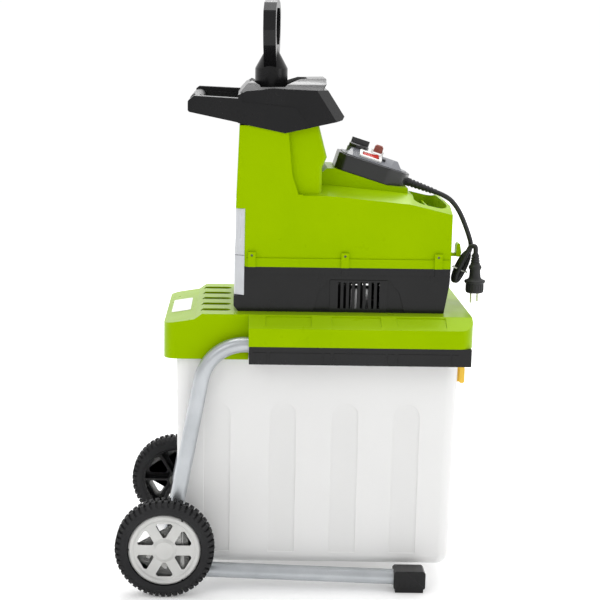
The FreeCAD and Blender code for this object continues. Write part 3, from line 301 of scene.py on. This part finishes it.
# width of the softened edge in mm, by node; nodes left out keep their sharp edges
SOFT_EDGE = {"upper_housing": 1.6, "lower_housing": 1.0, "hopper_hood": 1.4, "deck_cover": 1.6,
             "rail_near": 1.1, "rail_far": 1.1, "foot_near": 1.2, "foot_far": 1.2,
             "console_body": 1.6, "console_plate": 1.4, "plunger_handle": 2.6, "box_latch": 0.8,
             "rear_panel_upper": 0.8, "rear_panel_lower": 0.8, "collection_box": 1.0,
             "hubcap_near": 0.9, "hubcap_far": 0.9, "wheel_near": 0.8, "wheel_far": 0.8,
             "selector_knob": 0.8, "power_rocker": 0.6, "rocker_bezel": 0.5, "switch_cover": 0.6}


def soften(piece, width):
    """Small rounded edges that catch the light, made by modifiers so the node itself stays as it is."""
    weld = piece.modifiers.new("weld", "WELD")
    weld.merge_threshold = 0.00002
    flatten = piece.modifiers.new("flatten", "DECIMATE")
    flatten.decimate_type = "DISSOLVE"
    flatten.angle_limit = math.radians(0.6)
    bevel = piece.modifiers.new("bevel", "BEVEL")
    bevel.width = width * MM
    bevel.segments = 2
    bevel.limit_method = "ANGLE"
    bevel.angle_limit = math.radians(24)
    bevel.use_clamp_overlap = True
    normals = piece.modifiers.new("normals", "WEIGHTED_NORMAL")
    normals.weight = 80


for part in frame["record"]["subparts"]:
    piece = NODES[part["node"]]
    piece.data.materials.clear()
    piece.data.materials.append(MATERIALS[part["material_slot"]])
    if part["node"] in SOFT_EDGE:
        soften(piece, SOFT_EDGE[part["node"]])


# ----------------------------------------------------------------------------- shared mesh tools
def link(name, mesh, slot, body, *stands_for):
    """A finished piece: its material, its body, and the CAD nodes that it stands for."""
    piece = bpy.data.objects.new(name, mesh)
    bpy.context.scene.collection.objects.link(piece)
    piece.data.materials.append(MATERIALS[slot])
    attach(piece, body)
    if stands_for:
        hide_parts(*stands_for)
    return piece


def mesh_from(bm, name):
    mesh = bpy.data.meshes.new(name)
    bmesh.ops.recalc_face_normals(bm, faces=bm.faces[:])
    bm.to_mesh(mesh)
    bm.free()
    return mesh


def smooth(mesh, degrees=32):
    """Smooth shading that breaks at edges sharper than the given angle."""
    bm = bmesh.new()
    bm.from_mesh(mesh)
    for face in bm.faces:
        face.smooth = True
    for edge in bm.edges:
        if len(edge.link_faces) == 2 and edge.calc_face_angle() > math.radians(degrees):
            edge.smooth = False
    bm.to_mesh(mesh)
    bm.free()


def lathe(bm, profile, turn, place, steps=96):
    """Revolve (radius, height) points about a frame: turn rows give the axis and two spokes."""
    axis, one, two = turn
    rings = []
    for i in range(steps):
        angle = 2 * math.pi * i / steps
        spoke = one * math.cos(angle) + two * math.sin(angle)
        rings.append([bm.verts.new(place + spoke * r + axis * h) for r, h in profile])
    for i in range(steps):
        a, b = rings[i], rings[(i + 1) % steps]
        for j in range(len(profile) - 1):
            quad = [a[j], a[j + 1], b[j + 1], b[j]]
            if profile[j][0] < 1e-9:
                quad = [a[j], a[j + 1], b[j + 1]]
            elif profile[j + 1][0] < 1e-9:
                quad = [a[j], a[j + 1], b[j]]
            bm.faces.new(quad)
    bmesh.ops.remove_doubles(bm, verts=bm.verts[:], dist=1e-7)


# ----------------------------------------------------------------------------- tyres
HUB = (-228.6, 0.0, 90.0)
TYRE_RADIUS = 90.0
TREAD = 4.2
LUGS = 50
TYRE_MIDDLE = 208.0


def tyre(side, name, body, node):
    """Hard tyre with two rows of shoulder lugs and a centre row of short bars."""
    bm = bmesh.new()
    hub = mm(*HUB)
    axis = Vector((0, side, 0))
    one, two = Vector((1, 0, 0)), Vector((0, 0, 1))
    crown = TYRE_RADIUS - TREAD
    profile = [(67.1, 189), (67.1, 227), (70, 228), (76, 227.4), (80, 226.4), (83.4, 223), (crown, 217),
               (crown, 199), (83.4, 193), (80, 189.6), (76, 188.6), (70, 188), (67.1, 189)]
    lathe(bm, [(r * MM, h * MM) for r, h in profile], (axis, one, two), hub, 120)

    def lug(start, finish, rows):
        """A block between two angles; each row is (radius, height) of its section."""
        caps = []
        for angle in (start, finish):
            spoke = one * math.cos(angle) + two * math.sin(angle)
            caps.append([bm.verts.new(hub + spoke * (r * MM) + axis * (h * MM)) for r, h in rows])
        bm.faces.new(caps[0])
        bm.faces.new(list(reversed(caps[1])))
        for j in range(len(rows)):
            k = (j + 1) % len(rows)
            bm.faces.new([caps[0][j], caps[0][k], caps[1][k], caps[1][j]])

    pitch = 2 * math.pi / LUGS
    top = TYRE_RADIUS - 0.15
    for i in range(LUGS):
        start = i * pitch
        outer = [(79.5, 227.0), (84.5, 226.9), (top, 221.5), (top, 211.5), (crown - 1, 211.5),
                 (80.5, 224.5)]
        inner = [(r, 2 * TYRE_MIDDLE - h) for r, h in outer]
        lug(start, start + 0.60 * pitch, outer)
        lug(start + 0.5 * pitch, start + 1.1 * pitch, inner)
        middle = [(crown - 1, 213.5), (top, 213.5), (top, 202.5), (crown - 1, 202.5)]
        lug(start + 0.68 * pitch, start + 0.98 * pitch, middle)
        side_bar = [(71.5, 227.6), (72.3, 228.0), (75.0, 227.8), (75.4, 227.0)]
        if i % 2:
            lug(start, start + 1.4 * pitch, side_bar)
    mesh = mesh_from(bm, name)
    smooth(mesh, 28)
    return link(name, mesh, "tyre_black", body, node)


tyre(-1, "tyre_look_near", "wheel_near_body", "tyre_near")
tyre(1, "tyre_look_far", "wheel_far_body", "tyre_far")


# ----------------------------------------------------------------------------- lead
CORD = 9.0
RELIEF_START = (208.8, 0, 738)
LEAD_EXIT = (265, 0, 718.2)
LEAD_ROUTE = [(265, 0, 718.2), (283.5, 0, 711.5), (299, 0, 699), (311, 0, 682), (321, 0, 661),
              (330, 0, 638), (336, 0, 619)]
FOLD_TOP = (331, 606)
FOLD_TIP = (306, 549)
FOLD_STEP = 9.3
PLUG_PLACE = (341.5, -24, 533)
PLUG_LEAN = -0.8


def fold_points():
    """Three turns of the hank, one behind the other, each a long narrow loop."""
    top, tip = Vector(FOLD_TOP), Vector(FOLD_TIP)
    middle = (top + tip) / 2
    half = (top - tip) / 2
    across = Vector((half.y, -half.x)).normalized()
    turns, per_turn = 3, 12
    points = []
    for i in range(turns * per_turn - 3):
        turn = i / per_turn
        angle = -2 * math.pi * turn - 0.45
        stretch = 1.0 - 0.05 * (i // per_turn)
        long_part = half * (math.cos(angle) * stretch)
        wide_part = across * ((-7.6 + 1.4 * (i // per_turn)) * math.sin(angle))
        place = middle + long_part + wide_part
        points.append((place.x, 9.2 - FOLD_STEP * turn, place.y))
    return points


def make_lead():
    """The lead from its strain relief, through the hank and back up round into the plug."""
    points = LEAD_ROUTE + fold_points()
    points += [(320.5, -16.5, 594.5), (326.5, -17, 609), (332.5, -18.5, 620), (340.5, -23, 620.5),
               (341, -24, 610), (340.6, -24, 602)]
    curve = bpy.data.curves.new("lead", "CURVE")
    curve.dimensions = "3D"
    spline = curve.splines.new("NURBS")
    spline.points.add(len(points) - 1)
    for point, place in zip(spline.points, points):
        point.co = (*mm(*place), 1.0)
    spline.order_u = 3
    spline.use_endpoint_u = True
    curve.resolution_u = 8
    curve.bevel_depth = CORD / 2 * MM
    curve.bevel_resolution = 5
    curve.use_fill_caps = True
    return link("lead", curve, "rubber_cord", "root", "power_cord", "cord_hank")


def relief():
    """Ribbed rubber sleeve that tapers on to the lead."""
    start, finish = mm(*RELIEF_START), mm(*LEAD_EXIT)
    axis = (finish - start).normalized()
    length = (finish - start).length / MM
    one = axis.orthogonal().normalized()
    profile = [(0.0, 0.0), (7.9, 0.0)]
    ribs = 7
    for i in range(ribs):
        at = 5.0 + (length - 9.0) * i / ribs
        share = at / length
        radius = 7.9 - 2.5 * share
        profile += [(radius, at), (radius, at + 3.4), (radius - 1.3, at + 3.9), (radius - 1.3, at + 6.0)]
    profile += [(5.3, length - 1.0), (5.0, length), (0.0, length)]
    bm = bmesh.new()
    lathe(bm, [(r * MM, h * MM) for r, h in profile], (axis, one, axis.cross(one)), start, 40)
    mesh = mesh_from(bm, "relief")
    smooth(mesh, 38)
    return link("relief", mesh, "rubber_cord", "root", "strain_relief")


def plug():
    """Earthed plug: ribbed neck, bulge for the fingers, flanged collar and a recessed face."""
    lean = Matrix.Rotation(math.radians(PLUG_LEAN), 4, "Y")
    place = mm(*PLUG_PLACE)
    axis, one, two = (lean @ Vector(v) for v in ((0, 0, 1), (1, 0, 0), (0, 1, 0)))
    profile = [(0.0, 1.4), (12.0, 1.4), (12.6, 0.0), (15.4, 0.0), (16.3, 0.9), (16.5, 2.2), (16.5, 17.6),
               (18.6, 18.6), (19.5, 19.8), (19.5, 22.3), (18.6, 23.4), (15.0, 24.6), (12.4, 26.4),
               (11.0, 29.0), (10.4, 34.0), (10.0, 42.0), (10.6, 44.0), (12.0, 46.0), (12.2, 48.2),
               (11.4, 50.4), (9.4, 52.6)]
    for i in range(4):
        at = 53.6 + 4.7 * i
        radius = 8.9 - 0.55 * i
        profile += [(radius, at), (radius, at + 2.5), (radius - 1.4, at + 2.9), (radius - 1.4, at + 4.3)]
    profile += [(6.4, 72.4), (5.6, 73.5), (0.0, 73.5)]
    bm = bmesh.new()
    lathe(bm, [(r * MM, h * MM) for r, h in profile], (axis, one, two), place, 56)
    for i in range(20):
        angle = 2 * math.pi * i / 20
        spoke = one * math.cos(angle) + two * math.sin(angle)
        along = axis.cross(spoke)
        corners = []
        for height in (4.0, 16.0):
            for depth, width in ((16.2, -0.8), (17.1, -0.5), (17.1, 0.5), (16.2, 0.8)):
                corners.append(bm.verts.new(place + spoke * (depth * MM) + along * (width * MM)
                                            + axis * (height * MM)))
        low, high = corners[:4], corners[4:]
        bm.faces.new(low)
        bm.faces.new(list(reversed(high)))
        for j in range(4):
            k = (j + 1) % 4
            bm.faces.new([low[j], low[k], high[k], high[j]])
    mesh = mesh_from(bm, "plug")
    smooth(mesh, 34)
    body = link("plug", mesh, "plug_black", "root", "plug_body")

    bm = bmesh.new()
    pin = [(0.0, -19.0), (1.7, -18.9), (2.4, -17.6), (2.4, 1.6), (0.0, 1.6)]
    for x, y in ((-7.2, -6.2), (7.2, 6.2)):
        lathe(bm, [(r * MM, h * MM) for r, h in pin], (axis, one, two),
              place + one * (x * MM) + two * (y * MM), 24)
    mesh = mesh_from(bm, "pins")
    smooth(mesh, 40)
    pins = link("pins", mesh, "nickel", "root", "plug_pins")
    return body, pins


def tie():
    """Twisted wire tie round the waist of the hank, its two ends twisted together in front."""
    top, tip = Vector(FOLD_TOP), Vector(FOLD_TIP)
    middle = top.lerp(tip, 0.58)
    along = (top - tip).normalized()
    across = Vector((along.y, -along.x))
    curve = bpy.data.curves.new("tie", "CURVE")
    curve.dimensions = "3D"
    loop = curve.splines.new("NURBS")
    steps = 20
    loop.points.add(steps - 1)
    for i, point in enumerate(loop.points):
        angle = 2 * math.pi * i / steps
        side_step = across * (15.0 * math.cos(angle))
        point.co = (*mm(middle.x + side_step.x, -1.0 + 15.8 * math.sin(angle), middle.y + side_step.y), 1)
    loop.use_cyclic_u = True
    loop.order_u = 3
    for sign in (-1, 1):
        end = curve.splines.new("NURBS")
        end.points.add(11)
        for i, point in enumerate(end.points):
            swing = 0.9 * math.sin(1.6 * i + (0 if sign > 0 else math.pi))
            reach = across * (-9.0 - 0.9 * i)
            point.co = (*mm(middle.x + reach.x + along.x * swing, -15.6 + 0.5 * math.cos(1.6 * i) * sign,
                            middle.y + reach.y + along.y * swing), 1)
        end.order_u = 3
        end.use_endpoint_u = True
    curve.bevel_depth = 0.9 * MM
    curve.bevel_resolution = 3
    curve.use_fill_caps = True
    return link("tie", curve, "tie_wire", "root", "cord_tie")


lead = make_lead()
lead_pieces = [relief(), *plug(), tie()]
